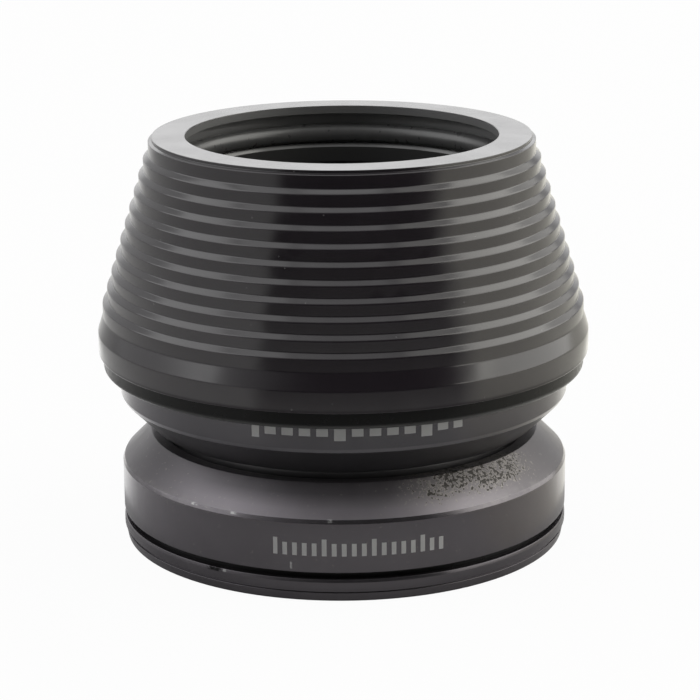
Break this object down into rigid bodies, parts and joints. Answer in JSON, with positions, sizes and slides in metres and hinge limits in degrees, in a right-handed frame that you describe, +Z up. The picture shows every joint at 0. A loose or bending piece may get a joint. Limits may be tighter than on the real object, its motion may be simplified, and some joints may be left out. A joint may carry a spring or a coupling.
{
  "type": "bicycle headset",
  "caption": "Integrated bicycle headset stack: tall stepped top cover, wedge ring, two angular-contact cartridge bearings and a crown race.",
  "frame": {"origin": "centre of the crown race's underside, on the steering axis", "axes": "+Z up the steering axis, from the crown race to the top cover; the wedge ring's slit faces +Y"},
  "size_m": [0.0456, 0.0456, 0.0377],
  "materials": {
    "anodised_black": "gloss black anodised",
    "race_steel": "satin, blackened, finely ground",
    "crown_steel": "satin, blackened",
    "ball_steel": "polished bearing steel",
    "cage_steel": "pressed steel",
    "wedge_alloy": "turned, grey anodised",
    "seal_rubber": "smooth black nitrile"
  },
  "bodies": {
    "crown_side": {"crown_race": "crown_steel", "crown_race_seal": "seal_rubber", "lower_inner_race": "race_steel"},
    "lower_ball_set": {"lower_balls": "ball_steel", "lower_cage": "cage_steel"},
    "head_tube_side": {"lower_outer_race": "race_steel", "lower_bottom_seal": "seal_rubber", "lower_top_seal": "seal_rubber", "upper_outer_race": "race_steel", "upper_bottom_seal": "seal_rubber", "upper_top_seal": "seal_rubber"},
    "upper_ball_set": {"upper_balls": "ball_steel", "upper_cage": "cage_steel"},
    "cover_side": {"upper_inner_race": "race_steel", "compression_ring": "wedge_alloy", "cover_o_ring": "seal_rubber", "rim_seal": "seal_rubber", "top_cover": "anodised_black"}
  },
  "joints": [
    {"name": "lower_bearing_spin", "type": "hinge", "parent": "crown_side", "child": "head_tube_side", "pos_m": [0, 0, 0.0065], "axis": [0, 0, 1], "continuous": true},
    {"name": "lower_balls_roll", "type": "hinge", "parent": "crown_side", "child": "lower_ball_set", "pos_m": [0, 0, 0.0065], "axis": [0, 0, 1], "continuous": true},
    {"name": "upper_bearing_spin", "type": "hinge", "parent": "head_tube_side", "child": "cover_side", "pos_m": [0, 0, 0.0147], "axis": [0, 0, 1], "continuous": true},
    {"name": "upper_balls_roll", "type": "hinge", "parent": "head_tube_side", "child": "upper_ball_set", "pos_m": [0, 0, 0.0147], "axis": [0, 0, 1], "continuous": true}
  ],
  "couplings": [
    {"joint": "lower_balls_roll", "follows": "lower_bearing_spin", "ratio": 0.53105},
    {"joint": "upper_balls_roll", "follows": "upper_bearing_spin", "ratio": 0.46895}
  ]
}
